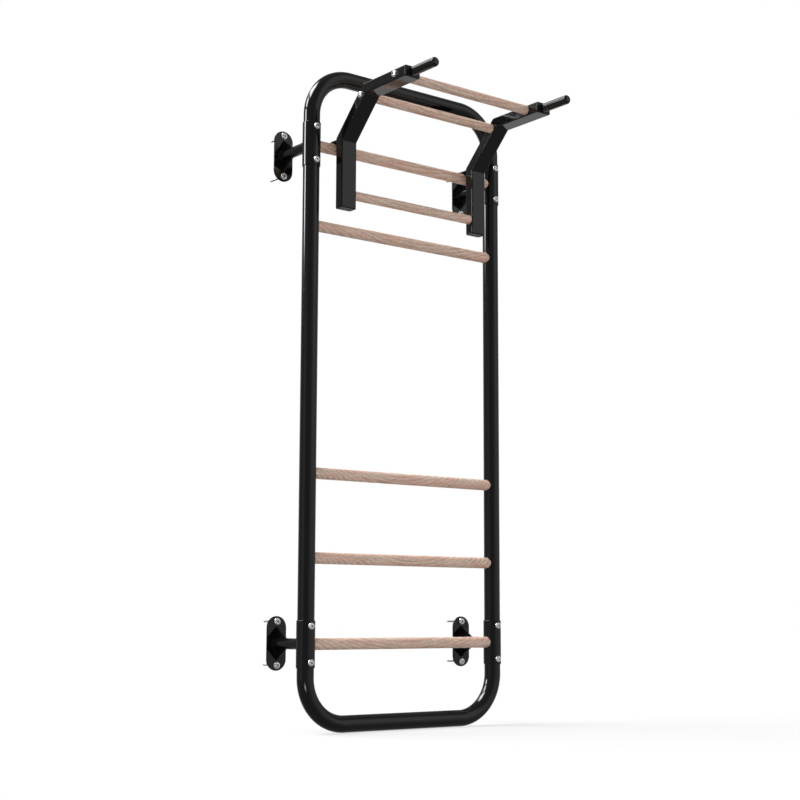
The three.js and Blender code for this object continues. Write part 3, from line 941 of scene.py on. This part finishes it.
def build():
    bend("top_bend", 1)
    bend("bottom_bend", -1)
    upright("left_upright", 1)
    upright("right_upright", -1)
    bars = [*RUNGS, "lower_dowel", "elbow_dowel", "end_dowel"]
    for index, node in enumerate(bars):
        bar(node, index)
    for index, corner in enumerate(CORNERS):
        inward = 1 if corner.endswith("left") else -1
        sleeve(f"sleeve_{corner}", inward)
        strut(f"strut_{corner}", half(f"sleeve_{corner}").x)
        wall_plate(f"wall_plate_{corner}", f"strut_{corner}")
        for turn, level in enumerate(("upper", "lower")):
            spin = radians(23 * (2 * index + turn))
            socket_screw(f"sleeve_bolt_{corner}_{level}", -Y, False, spin)
            socket_screw(f"wall_screw_{corner}_{level}", -Y, True, spin)
    for side, out in (("left", -X), ("right", X)):
        arm(side)
        hook(side)
        cap(f"{side}_foot_cap", -Z)
        cap(f"{side}_end_cap", -Y)
        handle(f"{side}_handle")
        for turn, place in enumerate(("elbow", "end")):
            socket_screw(f"{place}_bolt_{side}", out, False, radians(17 + 31 * turn))


# Studio --------------------------------------------------------------------------------------

# Soft boxes on the sky: azimuth, elevation, half width, half height, softness of the edge, light.
# Azimuth 0 is -Y and 90 is +X. All but the light are in degrees.
SOFT_BOXES = [
    (-126, 58, 32, 11, 3, 18.0),
    (-127, 35, 9, 7, 1.5, 21.0),
    (-127, 19, 8, 5, 1.5, 20.0),
    (-168, 44, 13, 6, 2, 3.8),
    (-148, 36, 7, 6, 2.5, 5.0),
    (-40, -15, 7, 3, 4, 10.0),
    (38, 28, 15, 20, 10, 0.45),
    (30, 44, 20, 9, 12, 0.40),
    (37, 4, 37, 18, 20, 0.38),
    (100, -3, 15, 16, 6, 0.35),
    (-90, 4, 18, 10, 6, 0.25),
    (180, -5, 10, 24, 6, 0.6),
    (147, -25, 17, 14, 2, 0.52),
]
GREY = 0.25  # the room between the soft boxes
MATTE_GAIN = 1.2  # how much more of it all a matte surface gathers
FLOOR_HALF = 30
FLOOR_GLOW = 0.68
CAMERA_HEADING = (-37.769, -8.011)  # azimuth and elevation of the camera, seen from the object
CAMERA_ROLL = 0.198
CAMERA_PLACE = Vector((-2.8502, FRAME_Y - 3.6581, 0.3459))
LENS = 68.14


class Sky(Tree):
    """The world's node tree: what the finishes reflect, and plain white behind the object."""

    def __init__(self):
        world = bpy.data.worlds.new("studio")
        bpy.context.scene.world = world
        world.use_nodes = True
        super().__init__(world.node_tree)
        self.tree.nodes.clear()

    def window(self, off, half_size, soft):
        """1 within half_size of the middle, 0 beyond it, with a smooth edge."""
        return self.node(
            "MapRange", {"interpolation_type": "SMOOTHSTEP"}, Value=self.math("ABSOLUTE", off),
            From_Min=half_size + soft, From_Max=half_size - soft, To_Min=0.0, To_Max=1.0,
        ).outputs["Result"]

    def soft_boxes(self):
        """The light that comes from each direction."""
        view = self.node("TexCoord").outputs["Generated"]
        x, y, z = self.node("SeparateXYZ", Vector=view).outputs
        turn = self.math("ARCTAN2", x, self.math("MULTIPLY", y, -1.0))
        azimuth = self.math("DEGREES", turn)
        elevation = self.math("DEGREES", self.math("ARCSINE", z))
        total = GREY
        for box_azimuth, box_elevation, half_width, half_height, soft, light in SOFT_BOXES:
            off = self.math("WRAP", self.math("SUBTRACT", azimuth, box_azimuth), 180.0, -180.0)
            wide = self.window(off, half_width, soft)
            high = self.window(self.math("SUBTRACT", elevation, box_elevation), half_height, soft)
            total = self.math("MULTIPLY_ADD", self.math("MULTIPLY", wide, high), light, total)
        return total

    def build(self):
        light = self.soft_boxes()
        path = self.node("LightPath").outputs
        gain = self.math("MULTIPLY_ADD", path["Is Diffuse Ray"], MATTE_GAIN, 1.0)
        lit = self.node("Background", Strength=self.math("MULTIPLY", light, gain)).outputs[0]
        plain = self.node("Background", Color=colour(1, 1, 1), Strength=1.0).outputs[0]
        shown = self.fill(self.node("MixShader"), path["Is Camera Ray"], lit, plain)
        self.node("OutputWorld", Surface=shown)


def floor():
    """A plain pale floor that glows a little, so that shadows on it stay faint."""
    corners = [(-1, -1), (1, -1), (1, 1), (-1, 1)]
    points = [(FLOOR_HALF * x, FLOOR_HALF * y, 0) for x, y in corners]
    mesh = mesh_of("floor", points, [(0, 1, 2, 3)])
    finish = Finish(
        "floor", Roughness=0.9, Specular_IOR_Level=0.0,
        Emission_Color=colour(1, 1, 1), Emission_Strength=FLOOR_GLOW,
    )
    tone = finish.noise(finish.place(), 0.4)
    finish.feed("Base Color", finish.mix(tone, colour(.185, .185, .185), colour(.19, .19, .19)))
    mesh.materials.append(finish.material)
    made = object_of(mesh)
    made.visible_glossy = made.visible_diffuse = False


def heading(azimuth, elevation):
    """A direction, by its azimuth as for the soft boxes and its elevation above the horizon."""
    a, e = radians(azimuth), radians(elevation)
    return Vector((sin(a) * cos(e), -cos(a) * cos(e), sin(e)))


def camera():
    """Stands left of the bars at knee height and looks slightly up at them."""
    data = bpy.data.cameras.new("camera")
    data.sensor_width = 36.0
    data.lens = LENS
    data.clip_start, data.clip_end = 0.05, 200
    made = bpy.data.objects.new("camera", data)
    bpy.context.scene.collection.objects.link(made)
    back = heading(*CAMERA_HEADING)
    right = (-back).cross(Z).normalized()
    level = Matrix((right, right.cross(-back), back)).transposed().to_4x4()
    roll = Matrix.Rotation(radians(CAMERA_ROLL), 4, "Z")
    made.matrix_world = Matrix.Translation(CAMERA_PLACE) @ level @ roll
    bpy.context.scene.camera = made


bpy.context.scene.view_settings.view_transform = "Standard"
camera()
Sky().build()
floor()
build()
